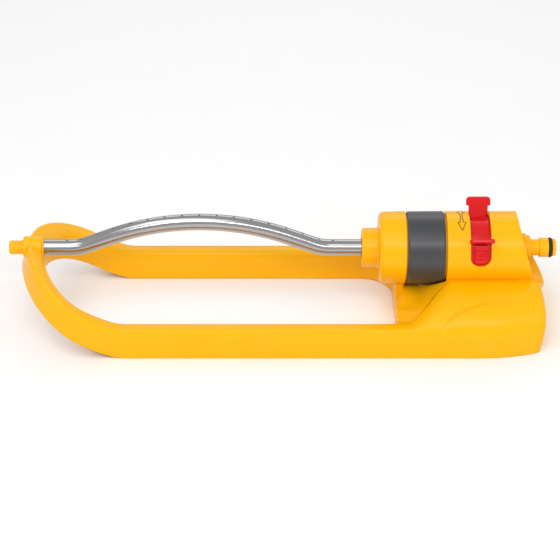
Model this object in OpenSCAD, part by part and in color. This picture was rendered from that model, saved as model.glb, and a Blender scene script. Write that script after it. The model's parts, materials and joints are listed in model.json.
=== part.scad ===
// Oscillating lawn sprinkler: a looped ground frame carries a drum with a water motor,
// which swings a bent aluminium spray tube about a long horizontal axis.
// X runs along the tube towards the hose inlet, Y across, Z up, ground at Z = 0.

/* [Overall] */
// length over the end plug and the hose nipple, mm
overall_length = 464; // [450:1:520]
// width of the frame on the ground, mm
frame_width = 150; // [130:1:190]
// height of the swing axis above the ground, mm
axis_height = 64.5; // [60:0.5:80]

/* [Frame] */
// width of the side rail, mm
rail_width = 16.6; // [14:0.1:24]
// height of the side rail, mm
rail_height = 26.6; // [20:0.1:32]
// wall of the moulded frame, mm
frame_wall = 2.4; // [1.8:0.1:3.2]
// length of the rounded loop end in plan, mm
loop_length = 56.4; // [40:0.1:80]
// rise of the loop end above the ground, mm
loop_rise = 47.7; // [40:0.1:60]
// length over which the loop end rises, mm
loop_run = 93; // [70:1:120]
// lean of the rail crest towards the inlet at the loop end, mm
loop_lean = 7; // [0:0.1:10]
// height of the shelf beside the drum, mm
shelf_height = 47.5; // [40:0.1:56]
// half width of the shelf, mm
shelf_half = 30; // [26:0.1:40]
// distance of the rear face of the opening from the nipple end, mm
opening_back = 135; // [130:1:150]

/* [Spray bar] */
// outside diameter of the spray tube, mm
tube_diameter = 14; // [12:0.1:16]
// wall of the spray tube, mm
tube_wall = 1; // [0.8:0.1:1.5]
// rise of the arched tube above the axis, mm
arch_rise = 25.8; // [20:0.1:32]
// radius of the long arch, mm
arch_radius = 200; // [160:1:260]
// radius of the two small bends, mm
bend_radius = 40; // [30:1:60]
// steepest slope of the arch, degrees
arch_slope = 22; // [18:0.5:28]
// middle of the arch measured from the plug end, mm
arch_from_plug = 162; // [158:0.1:180]
// number of jets
jet_count = 17; // [9:2:19]
// spacing of the jets, mm
jet_pitch = 14.1; // [10:0.1:16]
// diameter of a jet, mm
jet_diameter = 1.5; // [1:0.1:2]
// lean of the arch towards the front at rest, degrees
rest_tilt = 5; // [0:1:20]

/* [End plug] */
// diameter of the plug outside the frame, mm
plug_diameter = 12.2; // [10:0.1:13]
// length of the plug outside the frame, mm
plug_reach = 12; // [8:0.1:16]
// length of the plug inside the tube, mm
plug_insert = 14; // [8:0.1:18]

/* [Drum] */
// outside diameter of the drum, mm
drum_diameter = 62; // [60:0.1:70]
// wall of the drum shells, mm
drum_wall = 2.6; // [2:0.1:3]
// diameter of the collar round the tube socket, mm
collar_diameter = 33; // [30:0.1:40]
// length of the collar, mm
collar_length = 14; // [8:0.1:20]
// length of the front cap, mm
cap_length = 22.8; // [20:0.1:30]
// length of the control ring, mm
ring_length = 31.4; // [28:0.1:36]
// wall of the control ring, mm
ring_wall = 3; // [2.4:0.1:4]
// gap at each side of the control ring, mm
ring_gap = 1.2; // [0.6:0.1:2]
// length of the rear housing along its top, mm
housing_length = 59.7; // [56:0.1:70]
// backward slope of the housing end, mm per mm of height
end_slope = 0.29; // [0.1:0.01:0.4]

/* [Hose nipple] */
// diameter of the hose barrel, mm
barrel_diameter = 16.5; // [15:0.1:18]
// diameter of the neck behind the barrel, mm
neck_diameter = 13.7; // [11:0.1:15]
// diameter of the flange, mm
flange_diameter = 20.7; // [18:0.1:24]
// water bore of the nipple, mm
nipple_bore = 8.8; // [6:0.1:9]
// diameter over the nipple ring seal, mm
seal_diameter = 17.1; // [16:0.1:18]

/* [Sweep stops] */
// width of the arc slot, mm
slot_width = 17; // [14:0.1:20]
// angle of each slot end from straight up, degrees
slot_reach = 94; // [80:1:100]
// angle of the front tab from straight up, degrees
front_tab_angle = 54; // [40:1:54]
// angle of the rear tab from straight up, degrees
rear_tab_angle = 20; // [16:1:30]
// radial height of a tab above the drum, mm
tab_height = 12.5; // [8:0.1:16]
// width of a tab head, mm
tab_head_width = 20.6; // [16:0.1:24]
// thickness of a tab, mm
tab_thickness = 3.2; // [2:0.1:5]

/* [Water motor] */
// module of the gears, mm
gear_module = 0.8; // [0.7:0.05:0.82]
// teeth of the large wheels
wheel_teeth = 20; // [18:1:20]
// teeth of the pinions
pinion_teeth = 9; // [9:1:10]
// diameter of the turbine, mm
turbine_diameter = 40; // [34:0.5:42]
// number of turbine blades
blade_count = 12; // [8:1:16]
// diameter of the central spindle, mm
spindle_diameter = 3; // [2:0.1:3.2]
// diameter of the gear pin, mm
pin_diameter = 2.5; // [2:0.1:3]

/* [Fits] */
// radial running clearance, mm
run_fit = 0.06; // [0.03:0.01:0.1]
// backlash taken off each gear tooth, mm
backlash = 0.14; // [0.1:0.01:0.2]

/* [Hidden] */
$fn = 96;

half = overall_length / 2;
ax = axis_height;
drum_r = drum_diameter / 2;
tube_r = tube_diameter / 2;
bore_r = tube_r - tube_wall;

// stations along the drum, counted back from the nipple end
collar_x = half - 165;
cap_x = collar_x + collar_length;
cap_end = cap_x + cap_length;
ring_x = cap_end + ring_gap;
ring_end = ring_x + ring_length;
house_x = ring_end + ring_gap + 0.3;
house_top = house_x + housing_length;
slot_x = house_x + 27.8;
flange_x = half - 27;
barrel_x = half - 14.2;
oring_x = half - 4.7;

// radii inside the drum
cave_r = drum_r - drum_wall;
ring_in = drum_r - ring_wall;
spigot_r = ring_in - run_fit;
spigot_in = spigot_r - 2.44;
case_r = spigot_in - 0.7;
case_in = case_r - 1.8;
hub_r = tube_r + 3;
sleeve_r = hub_r + 3.5;
pipe_r = 8;
neck_r = pipe_r + 3;

// frame
half_w = frame_width / 2;
apex_x = -half + plug_reach - 3;
boss_x = -half + plug_reach;
rise_x = apex_x + loop_run;
loop_c = apex_x + loop_length;
open_x = half - opening_back;
scurve_x = open_x + 5;
shelf_x = house_x + 5.6;
tail_x = half - 13.5;
boss_r = tube_r + 2.5;
bush_r = tube_r + 1.1;
bush_x = boss_x + 2.6;
boss_end = boss_x + 16;
head_z = ax - drum_r - 6;
screw_spots = [[cap_end - 4, 8], [cap_end - 4, -8], [half - 40, 10], [half - 40, -10]];

// gears
gear_c = gear_module * (wheel_teeth + pinion_teeth) / 2 + 0.05;
case_x = ring_x + 10.5;
gear_x0 = case_x + 4;

function sm(t) = let (u = max(0, min(1, t))) u * u * (3 - 2 * u);
function mix(a, b, t) = a + (b - a) * t;

// ---- helpers ----
module cyl(x0, x1, r) translate([x0, 0, ax]) rotate([0, 90, 0]) cylinder(h = x1 - x0, r = r);
module cone(x0, x1, ra, rb) translate([x0, 0, ax]) rotate([0, 90, 0]) cylinder(h = x1 - x0, r1 = ra, r2 = rb);
module ring(x0, x1, ro, ri) difference() {
  cyl(x0, x1, ro);
  cyl(x0 - 1, x1 + 1, ri);
}
// body of revolution about the swing axis from points [radius, x]
module spun(pts) translate([0, 0, ax]) rotate([0, 90, 0]) rotate_extrude() polygon(pts);
module oring(x, r, sr) translate([x, 0, ax]) rotate([0, 90, 0]) rotate_extrude() translate([r, 0]) circle(r = sr, $fn = 40);
// turn a child by an angle from straight up towards the front
module at_angle(a) translate([0, 0, ax]) rotate([a, 0, 0]) translate([0, 0, -ax]) children();
module bar() at_angle(rest_tilt) children();
// box standing radially above the axis: along x, tangential width w, from r0 to r1
module post(x0, x1, w, r0, r1) translate([x0, -w / 2, ax + r0]) cube([x1 - x0, w, r1 - r0]);
// arc band about the axis, from angle a0 to a1 measured from straight up to the front
module arc(x0, x1, r0, r1, a0, a1) translate([0, 0, ax]) rotate([a0, 0, 0]) rotate([0, 90, 0])
  rotate([0, 0, 180]) rotate_extrude(angle = a1 - a0) translate([r0, x0]) square([r1 - r0, x1 - x0]);

// ---- frame ----
rail_pts = [[0, 0], [0.015, 0.3], [0.035, 0.6], [0.06, 0.82], [0.11, 0.945], [0.21, 0.995], [0.50, 1],
  [0.70, 0.99], [0.86, 0.945], [0.935, 0.865], [0.965, 0.74], [0.98, 0.4], [1, 0]];
function sec_out(k) = [rail_width * rail_pts[k][0], rail_height * rail_pts[k][1]];
function sec_in(k) = [frame_wall + (rail_width - 2 * frame_wall) * rail_pts[k][0],
  (rail_height - frame_wall) * rail_pts[k][1]];
section = concat([for (k = [0:12]) sec_out(k)], [for (k = [12:-1:0]) sec_in(k)]);
function rail_at(x, side) = [x, side * half_w, 0, -side];
function loop_at(t) = let (nx = cos(t) / loop_length, ny = -sin(t) / half_w, q = sqrt(nx * nx + ny * ny))
  [loop_c - loop_length * cos(t), half_w * sin(t), nx / q, ny / q];
rail_x = [open_x + 1, open_x - 60, open_x - 120, open_x - 180, rise_x + 10, rise_x, rise_x - 6, rise_x - 12,
  rise_x - 18, rise_x - 24, rise_x - 30];
stations = concat([for (x = rail_x) rail_at(x, -1)], [for (t = [-90:6:90]) loop_at(t)],
  [for (i = [len(rail_x) - 1:-1:0]) rail_at(rail_x[i], 1)]);
function up_at(x) = max(0, (rise_x - x) / loop_run);
function loop_pt(s, p) = let (x = s[0] + s[2] * p[0], y = s[1] + s[3] * p[0], u = up_at(x))
  [x + loop_lean * u * p[1] / rail_height, y, p[1] + loop_rise * pow(u, 1.25)];

module loop() {
  n = len(section);
  s = len(stations);
  pts = [for (st = stations) for (p = section) loop_pt(st, p)];
  sides = [for (i = [0:s - 2]) for (j = [0:n - 1]) let (k = (j + 1) % n)
    each [[(i + 1) * n + j, (i + 1) * n + k, i * n + k], [(i + 1) * n + j, i * n + k, i * n + j]]];
  cap0 = [for (k = [0:11]) each [[k, k + 1, n - 2 - k], [k, n - 2 - k, n - 1 - k]]];
  e = (s - 1) * n;
  cap1 = [for (k = [0:11]) each [[e + n - 2 - k, e + k + 1, e + k], [e + n - 1 - k, e + n - 2 - k, e + k]]];
  polyhedron(points = pts, faces = concat(sides, cap0, cap1), convexity = 8);
}

block_pts = [[0, 0], [0.012, 0.2], [0.05, 0.4], [0.13, 0.58], [0.26, 0.73], [0.45, 0.86], [0.68, 0.95],
  [0.90, 0.99], [0.97, 1], [1, 1]];
// right-hand half of the block section at x, walls drawn in by w
function half_block(x, w) =
  let (s = sm((x - scurve_x) / (shelf_x - scurve_x)),
       d = sm((x - open_x) / (shelf_x - open_x)),
       narrow = half_w - 9 * pow(max(0, (x - shelf_x - 16) / 58), 2),
       zd = mix(7, shelf_height, d) - w,
       span = narrow - shelf_half)
  concat(
    [for (k = [0:9]) [narrow - (mix(rail_width * rail_pts[k][0], span * block_pts[k][0], s)
        + (k < 7 ? w : (k < 8 ? 0 : -w * (1 - s)))),
      max(0, mix(rail_height * rail_pts[k][1], shelf_height * block_pts[k][1], s) - (k == 0 ? 0 : w))]],
    [[narrow - mix(rail_width * 0.97, span + 1, s) + w * (1 - s), (mix(rail_height * 0.8, shelf_height, s) - w + zd) / 2],
     [narrow - mix(rail_width, span + 2, s) + w * (1 - s), zd],
     [0, zd]]);
block_x = [for (x = [0:4:48]) open_x + x];
block_xs = concat(block_x, [shelf_x + 8, shelf_x + 16, shelf_x + 26, shelf_x + 36, shelf_x + 46, shelf_x + 56,
  shelf_x + 66, shelf_x + 76, shelf_x + 90]);
module block_loft(w) {
  xs = block_xs;
  s = len(xs);
  m = 25;
  n = 2 * m - 2;
  pts = [for (x = xs) let (h = half_block(x, w))
    each concat([for (p = h) [x, p[0], p[1]]], [for (k = [11:-1:0]) [x, -h[k][0], h[k][1]]],
      [for (k = [1:12]) [x, -h[k][0], -w]], [for (k = [11:-1:1]) [x, h[k][0], -w]])];
  sides = [for (i = [0:s - 2]) for (j = [0:n - 1]) let (k = (j + 1) % n)
    each [[(i + 1) * n + j, (i + 1) * n + k, i * n + k], [(i + 1) * n + j, i * n + k, i * n + j]]];
  // top point k pairs with the bottom point below it
  function low(k) = k == 0 ? 0 : (k == m - 1 ? m - 1 : n - k);
  cap0 = [for (k = [0:m - 2]) each (k == 0 ? [[0, 1, low(1)]] : (k == m - 2 ? [[k, k + 1, low(k)]]
    : [[k, k + 1, low(k + 1)], [k, low(k + 1), low(k)]]))];
  e = (s - 1) * n;
  cap1 = [for (f = cap0) [for (i = [2:-1:0]) f[i] + e]];
  polyhedron(points = pts, faces = concat(sides, cap0, cap1), convexity = 8);
}
// side view and plan outline of the rear block, drawn in by w
module block_trim(x0, w) intersection() {
  translate([0, half_w + 5, 0]) rotate([90, 0, 0]) linear_extrude(2 * half_w + 10)
    polygon([[x0, -1], [tail_x - 4.2 - w, -1], [tail_x - 4.2 - w, 0], [tail_x - 2.4 - w, 8], [tail_x - 0.8 - w, 17],
      [tail_x - w, 25], [tail_x - 0.5 - w, 33], [tail_x - 1.8 - w, 41], [tail_x - 3.6 - w, 47], [tail_x - 6 - w, 60], [x0, 60]]);
  translate([0, 0, -1]) linear_extrude(62)
    polygon(concat([[x0, -half_w - 1], [tail_x - 14 - w, -half_w - 1]],
      [for (t = [-80:20:80]) [tail_x - 9 - w + 9 * cos(t), (half_w - 18 - w) * (t < 0 ? -1 : 1) + 9 * sin(t)
        + (t == 0 ? 9 * 0 : 0)]],
      [[tail_x - 14 - w, half_w + 1], [x0, half_w + 1]]));
}
// the housing outline with its sloping end, grown by g
module house_shape(x0, r, g) intersection() {
  cyl(x0, half, r);
  translate([house_top + g, 0, ax + drum_r]) rotate([0, -atan(end_slope), 0])
    translate([-200, -100, -200]) cube([200, 200, 400]);
}

module frame() color("#fcc012") difference() {
  union() {
    loop();
    difference() {
      intersection() {
        block_loft(0);
        block_trim(open_x, 0);
      }
      difference() {
        intersection() {
          block_loft(frame_wall);
          block_trim(open_x + frame_wall, frame_wall);
        }
        cyl(open_x, half, drum_r + 1.4 + frame_wall);
        for (p = screw_spots) translate([p[0], p[1], head_z - 8]) cylinder(h = 40, r = 5.5);
      }
    }
    // pedestal under the front cap
    translate([cap_end - 7.8, -13, 5]) cube([7.6, 26, ax - 22 - 5]);
    cyl(boss_x, boss_end, boss_r);
    // rounded lobe of the shelf under the nipple
    difference() {
      translate([tail_x - 18, 0, shelf_height - 5]) scale([20, 25, 12]) sphere(1, $fn = 48);
      translate([tail_x - 18, 0, shelf_height - 5]) scale([17.6, 22.6, 9.6]) sphere(1, $fn = 48);
      translate([tail_x - 60, -40, shelf_height - frame_wall - 30]) cube([80, 80, 30]);
    }
  }
  cyl(open_x - 30, house_x - 0.8, drum_r + 1.4);
  cyl(cap_x, cap_end, drum_r + 0.02);
  house_shape(house_x - 0.9, drum_r + 0.02, 0.3);
  cyl(boss_x - 5, boss_end + 5, max(plug_diameter / 2, bore_r) + 0.4);
  cyl(bush_x, boss_end + 8, bush_r);
  cyl(boss_end, boss_end + 8, bush_r + 1.2);
  cyl(flange_x - 9, half, 12.4);
  for (p = screw_spots) translate([p[0], p[1], 0]) {
    cylinder(h = 60, r = 1.7);
    translate([0, 0, -1]) cylinder(h = head_z + 1, r = 3.3);
  }
}

module left_bush() color("#e8e4da") difference() {
  union() {
    cyl(bush_x, boss_end, bush_r);
    cyl(boss_end, boss_end + 1.6, bush_r + 0.8);
  }
  cyl(bush_x - 1, boss_end + 5, tube_r + run_fit);
}

module fixing_screws() color("#9a9ca0") for (p = screw_spots) translate([p[0], p[1], 0]) {
  translate([0, 0, head_z]) cylinder(h = 17, r = 1.5);
  difference() {
    translate([0, 0, head_z - 2.6]) cylinder(h = 2.6, r = 2.9);
    translate([0, 0, head_z - 3]) cylinder(h = 1.8, r = 1.1);
  }
}

// ---- drum, fixed parts ----
module front_cap() color("#fcc012") difference() {
  union() {
    difference() {
      union() {
        cyl(collar_x, cap_x + 1, collar_diameter / 2);
        cyl(cap_x, cap_end, drum_r);
        cyl(cap_end - 1, cap_end + 3, spigot_r);
      }
      cyl(cap_x + drum_wall, cap_end - 2.3, cave_r);
      cyl(cap_end - 3, cap_end + 4, spigot_in);
    }
    // two screw bosses
    intersection() {
      for (i = [0:1]) translate([screw_spots[i][0], screw_spots[i][1], ax - drum_r]) cylinder(h = 12.5, r = 4);
      cyl(cap_x, cap_end - 0.5, drum_r - 1);
    }
  }
  cyl(collar_x - 1, cap_x + 5, hub_r + run_fit);
  cyl(collar_x + 1.5, collar_x + 5, hub_r + 3);
  for (i = [0:1]) translate([screw_spots[i][0], screw_spots[i][1], head_z]) cylinder(h = 17, r = 1.5);
}

module collar_seal() color("#26272b") ring(collar_x + 1.5, collar_x + 5, hub_r + 3, hub_r + 0.03);

module housing() color("#fcc012") difference() {
  union() {
    difference() {
      union() {
        house_shape(house_x, drum_r, 0);
        cyl(house_x - 3, house_x + 1, spigot_r);
      }
      intersection() {
        cyl(house_x + 2.5, half, cave_r);
        house_shape(house_x, drum_r, -2.8);
      }
      cyl(house_x - 4, house_x + 3, spigot_in);
    }
    // boss behind the inlet flange
    cyl(half - 35, flange_x + 1.6, 12);
    intersection() {
      for (i = [2:3]) translate([screw_spots[i][0], screw_spots[i][1], ax - drum_r]) cylinder(h = 12.5, r = 4);
      cyl(house_x, house_top + 10, drum_r - 1);
    }
  }
  cyl(half - 40, half, pipe_r);
  cyl(flange_x, half, flange_diameter / 2 + 0.4);
  for (i = [2:3]) translate([screw_spots[i][0], screw_spots[i][1], head_z]) cylinder(h = 17, r = 1.5);
  // arc slot with round ends
  slot_end = slot_reach - asin(slot_width / 2 / drum_r);
  arc(slot_x - slot_width / 2, slot_x + slot_width / 2, cave_r - 1.5, drum_r + 3, -slot_end, slot_end);
  for (s = [-1, 1]) at_angle(s * slot_end) translate([slot_x, 0, ax + cave_r - 3]) cylinder(h = 10, r = slot_width / 2);
}

nose_r = 7.7;
module inlet_nipple() color("#fcc012") difference() {
  union() {
    cyl(half - 73, flange_x + 1, pipe_r);
    cyl(flange_x, flange_x + 5, flange_diameter / 2);
    cyl(flange_x + 5, barrel_x + 1, neck_diameter / 2);
    cyl(barrel_x, oring_x - 1.7, barrel_diameter / 2);
    cyl(barrel_x, half, seal_diameter / 2 - 3.1);
    cyl(oring_x + 1.7, half - 1.2, nose_r);
    cone(half - 1.2, half, nose_r, 7);
  }
  cyl(flange_x - 4, half + 1, nipple_bore / 2);
  cyl(half - 68, flange_x - 3, 6.2);
  // three spokes hold the spindle
  difference() {
    cyl(half - 74, half - 67, 6.2);
    cyl(half - 72, half - 68, 2.6);
    for (a = [0, 120, 240]) at_angle(a) post(half - 71, half - 68, 1.6, 0, 7);
  }
  cyl(half - 75, half - 66, spindle_diameter / 2);
}

module nipple_oring() color("#151517") oring(oring_x, seal_diameter / 2 - 1.55, 1.55);

module filter_screen() color("#c9ccd1") difference() {
  cyl(half - 38, half - 32, 6.2);
  cyl(half - 39, half - 33, 5.3);
  cyl(half - 34, half - 31, 0.7);
  for (a = [0:60:300]) at_angle(a) translate([half - 34, 0, ax + 2.2]) rotate([0, 90, 0]) cylinder(h = 3, r = 0.7);
  for (a = [0:30:330]) at_angle(a) translate([half - 34, 0, ax + 4.3]) rotate([0, 90, 0]) cylinder(h = 3, r = 0.7);
}

module spindle() color("#c4c7cc") cyl(case_x + 1.2, half - 67, spindle_diameter / 2);

// ---- spray bar ----
arch_x = -half + arch_from_plug;
tube_end = boss_x + 2.8;
tube_in = collar_x + 18;
st_len = (arch_rise - (arch_radius + bend_radius) * (1 - cos(arch_slope))) / tan(arch_slope);
a1 = arch_radius * sin(arch_slope);
a2 = a1 + st_len;
a3 = a2 + bend_radius * sin(arch_slope);
// height and slope of the arch at distance u from its middle
function arch_z(u) = u < a1 ? arch_rise - arch_radius * (1 - sqrt(1 - pow(u / arch_radius, 2)))
  : u < a2 ? arch_rise - arch_radius * (1 - cos(arch_slope)) - (u - a1) * tan(arch_slope)
  : u < a3 ? bend_radius * (1 - sqrt(1 - pow((a3 - u) / bend_radius, 2))) : 0;
function arch_a(u) = u < a1 ? asin(u / arch_radius) : u < a2 ? arch_slope : u < a3 ? asin((a3 - u) / bend_radius) : 0;

// stations of the tube centreline as [x, height, slope]
tube_us = concat([for (i = [0:4]) a3 - i * (a3 - a2) / 4], [for (i = [0:11]) a1 - i * a1 / 12]);
tube_path = concat([[tube_end, 0, 0]], [for (u = tube_us) [arch_x - u, arch_z(u), arch_a(u)]],
  [for (i = [len(tube_us):-1:0]) let (u = i == len(tube_us) ? 0 : tube_us[i]) [arch_x + u, arch_z(u), -arch_a(u)]],
  [[tube_in, 0, 0]]);
tube_sides = 28;
module bent_tube() {
  n = tube_sides;
  s = len(tube_path);
  pts = [for (p = tube_path) each [for (r = [tube_r, bore_r]) each [for (j = [0:n - 1]) let (a = (j + 0.5) * 360 / n)
    [p[0] - sin(p[2]) * r * cos(a), r * sin(a), ax + p[1] + cos(p[2]) * r * cos(a)]]]];
  faces = [for (i = [0:s - 2]) for (j = [0:n - 1]) let (k = (j + 1) % n, o = 2 * n * i, q = 2 * n * (i + 1))
    each [[o + j, o + k, q + k], [o + j, q + k, q + j],
      [q + n + k, o + n + k, o + n + j], [q + n + j, q + n + k, o + n + j]]];
  e = 2 * n * (s - 1);
  caps = [for (j = [0:n - 1]) let (k = (j + 1) % n) each [[j, n + j, n + k], [j, n + k, k],
    [e + n + k, e + n + j, e + j], [e + k, e + n + k, e + j]]];
  polyhedron(points = pts, faces = concat(faces, caps), convexity = 6);
}
module spray_tube() color("#c9ccd1") bar() difference() {
  bent_tube();
  for (i = [0:jet_count - 1]) let (u = (i - (jet_count - 1) / 2) * jet_pitch, a = arch_a(abs(u)) * sign(u))
    translate([arch_x + u, 0, ax + arch_z(abs(u))]) rotate([0, a, 0]) translate([0, 0, tube_r - 3])
      cylinder(h = 5, r = jet_diameter / 2, $fn = 24);
}

sleeve_x = collar_x + 19;
module output_hub() color("#2f3136") bar() difference() {
  union() {
    cyl(collar_x + 0.8, case_x, hub_r);
    cyl(case_x - 3, case_x, hub_r + 4);
  }
  cyl(collar_x, tube_in, tube_r);
  cyl(tube_in - 1, collar_x + 27, bore_r);
  cyl(collar_x + 29, case_x + 1, 6.5);
  for (x = [24, 32], a = [0:60:300]) at_angle(a) translate([collar_x + x, 0, ax + 4]) cylinder(h = 9, r = 1.6, $fn = 32);
  for (x = [20.4, 36.2]) ring(collar_x + x - 1, collar_x + x + 1, hub_r + 1, hub_r - 1.4);
}
module hub_orings() color("#151517") bar() for (x = [20.4, 36.2]) oring(collar_x + x, hub_r - 0.69, 0.71);

module motor_case() color("#4a4d52") bar() difference() {
  union() {
    ring(case_x, case_x + 39, case_r, case_in);
    cyl(case_x, case_x + 2.4, case_r);
    cyl(case_x, case_x + 3.4, 2.9);
    translate([0, 0, gear_c]) cyl(case_x, case_x + 3.4, 2.4);
  }
  cyl(case_x + 1, case_x + 4, spindle_diameter / 2 + run_fit);
  translate([0, 0, gear_c]) cyl(case_x + 1, case_x + 4, pin_diameter / 2);
  for (a = [36:72:324]) at_angle(a) translate([case_x - 1, 0, ax + 4.7]) rotate([0, 90, 0]) cylinder(h = 4, r = 1.5);
}
lid_x = case_x + 39;
trip_x = lid_x + 17;
neck_end = lid_x + 30;
module motor_lid() color("#4a4d52") bar() difference() {
  union() {
    cyl(lid_x, lid_x + 3.5, case_r);
    ring(lid_x - 1.5, lid_x + 1, case_in - 0.02, case_in - 1.6);
    cyl(lid_x, neck_end, neck_r);
  }
  cyl(lid_x - 2, neck_end + 1, pipe_r + run_fit);
  cyl(neck_end - 3.5, neck_end + 1, neck_r - 1.2);
  for (s = [0, 180]) arc(lid_x - 3, lid_x + 6, 11.5, 14.5, s + 72, s + 108);
}
module lid_seal() color("#26272b") bar() ring(neck_end - 3.5, neck_end, neck_r - 1.2, pipe_r + 0.03);
module gear_pin() color("#c4c7cc") bar() translate([0, 0, gear_c]) cyl(case_x + 1, gear_x0 + 19, pin_diameter / 2);
module gear_plate() color("#d8d4c8") bar() difference() {
  cyl(gear_x0 + 17.4, gear_x0 + 19.4, case_in - 0.02);
  cyl(gear_x0 + 16, gear_x0 + 21, gear_module * (pinion_teeth / 2 + 0.8) + 0.5);
  translate([0, 0, gear_c]) cyl(gear_x0 + 16, gear_x0 + 19, pin_diameter / 2);
  for (a = [60:60:300]) at_angle(a) translate([gear_x0 + 16, 0, ax + 13.5]) rotate([0, 90, 0]) cylinder(h = 6, r = 4.5);
}

// ---- gears ----
function inv(a) = tan(a) * 180 / PI - a;
// involute tooth outline as polar points [radius, half angle]
function tooth(z) =
  let (m = gear_module, rp = m * z / 2, rb = rp * cos(25), ra = rp + 0.8 * m, rf = rp - 1.15 * m,
       ht = 90 / z - backlash / 2 / rp * 180 / PI,
       r0 = max(rb, rf) + 0.001)
  concat([[rf, ht + inv(25)]],
    [for (i = [0:3]) let (r = mix(r0, ra, i / 3), al = acos(min(1, rb / r))) [r, ht + inv(25) - inv(al)]]);
function gear_pts(z) = [for (i = [0:z - 1]) let (t = tooth(z)) each concat(
  [for (k = [0:4]) [t[k][0] * cos(i * 360 / z - t[k][1]), t[k][0] * sin(i * 360 / z - t[k][1])]],
  [for (k = [4:-1:0]) [t[k][0] * cos(i * 360 / z + t[k][1]), t[k][0] * sin(i * 360 / z + t[k][1])]])];
// toothed disc about the axis with one tooth pointing straight up
module gear(x0, x1, z, turn = 0) at_angle(turn) translate([x0, 0, ax]) rotate([0, 90, 0]) rotate([0, 0, 180])
  linear_extrude(x1 - x0) polygon(gear_pts(z));
// wheel and pinion in one piece on the axis; turns set the tooth phase
module pair(xp, xm, xw, bore, tp, tw) difference() {
  union() {
    gear(xp, xm, pinion_teeth, tp);
    gear(xm - 0.01, xw, wheel_teeth, tw);
  }
  cyl(xp - 1, xw + 1, bore);
}
off_p = pinion_teeth % 2 == 0 ? 180 / pinion_teeth : 0;
off_w = wheel_teeth % 2 == 0 ? 180 / wheel_teeth : 0;
pin_bore = pin_diameter / 2 + run_fit;
spin_bore = spindle_diameter / 2 + run_fit;
module sun_gear() color("#e8e4da") bar() difference() {
  gear(gear_x0 + 0.4, gear_x0 + 3.4, wheel_teeth);
  cyl(gear_x0 - 1, gear_x0 + 5, spindle_diameter / 2);
}
module gear_three() color("#e8e4da") bar() translate([0, 0, gear_c]) pair(gear_x0, gear_x0 + 4.4, gear_x0 + 7, pin_bore, off_p, off_w);
module gear_two() color("#e8e4da") bar() pair(gear_x0 + 4, gear_x0 + 8.4, gear_x0 + 11, spin_bore, 0, 0);
module gear_one() color("#e8e4da") bar() translate([0, 0, gear_c]) pair(gear_x0 + 8, gear_x0 + 12.8, gear_x0 + 15.4, pin_bore, off_p, off_w);
module turbine() color("#f2efe6") bar() difference() {
  union() {
    gear(gear_x0 + 12.4, gear_x0 + 20.6, pinion_teeth);
    cyl(gear_x0 + 20.5, gear_x0 + 29, 6);
    cyl(gear_x0 + 20.5, gear_x0 + 22, 14);
    for (i = [0:blade_count - 1]) at_angle(i * 360 / blade_count)
      post(gear_x0 + 20.8, gear_x0 + 28, 1.2, 5, turbine_diameter / 2);
  }
  cyl(gear_x0, gear_x0 + 30, spin_bore);
}

module diverter() color("#5a86b8") bar() difference() {
  cyl(lid_x - 4.2, lid_x - 2.2, case_in - 1.6);
  cyl(lid_x - 6, lid_x, spindle_diameter / 2 + 0.5);
  for (a = [20:40:340]) at_angle(a) translate([lid_x - 6, 0, ax + 17.4]) rotate([0, 90, 0]) cylinder(h = 6, r = 2.4);
  for (a = [90, 270]) at_angle(a) translate([lid_x - 3.4, 0, ax + 13]) rotate([0, 90, 0]) cylinder(h = 6, r = 1.2);
}
module trip_lever() color("#5a86b8") bar() {
  ring(trip_x, trip_x + 9, neck_r + 3.4, neck_r + run_fit);
  post(trip_x + 1, trip_x + 9, 5, neck_r + 3, cave_r - 7.7);
  for (a = [90, 270]) at_angle(a) translate([lid_x - 3.4, 0, ax + 13]) rotate([0, 90, 0])
    cylinder(h = trip_x - lid_x + 4.4, r = 1.2);
}

// ---- control ring ----
module control_ring() color("#4c4d50") difference() {
  cone(ring_x, ring_end, drum_r - 0.25, drum_r);
  cyl(ring_x - 1, ring_end + 1, ring_in);
}
module valve_sleeve() color("#e8e4da") difference() {
  union() {
    cyl(sleeve_x, ring_x + 4, sleeve_r);
    cyl(ring_x + 2.7, ring_x + 5.2, ring_in);
  }
  cyl(sleeve_x - 1, ring_x + 6, hub_r + run_fit);
  cyl(collar_x + 21.8, collar_x + 34.8, sleeve_r - 1.7);
  for (a = [0:60:300]) at_angle(a) translate([ring_x, 0, ax + 20.5]) rotate([0, 90, 0]) cylinder(h = 8, r = 4.6);
}

// ---- sweep stops ----
// tab: neck through the slot and wider head, standing straight up
module tab(r0) {
  post(slot_x - 8.1, slot_x + 8.1, tab_thickness, r0, drum_r + 6);
  post(slot_x - tab_head_width / 2, slot_x + tab_head_width / 2, tab_thickness, drum_r + 5, drum_r + tab_height);
}
outer_r = cave_r - 0.1;
module front_stop() color("#e2231a") {
  arc(slot_x - 10.5, slot_x + 12, outer_r - 1.3, outer_r, front_tab_angle - 12, front_tab_angle + 43);
  arc(slot_x - 5.3, slot_x + 5.3, outer_r - 0.1, drum_r + 0.5, front_tab_angle + 4, front_tab_angle + 33);
  for (i = [0:2]) arc(slot_x - 5.3, slot_x + 5.3, drum_r + 0.4, drum_r + 1.3, front_tab_angle + 14 + 8 * i,
    front_tab_angle + 17 + 8 * i);
  at_angle(front_tab_angle) tab(outer_r - 1);
  at_angle(front_tab_angle + 19) post(slot_x + 9.4, slot_x + 12, 3, cave_r - 7.2, outer_r - 0.5);
}
inner_r = outer_r - 1.5;
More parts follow.
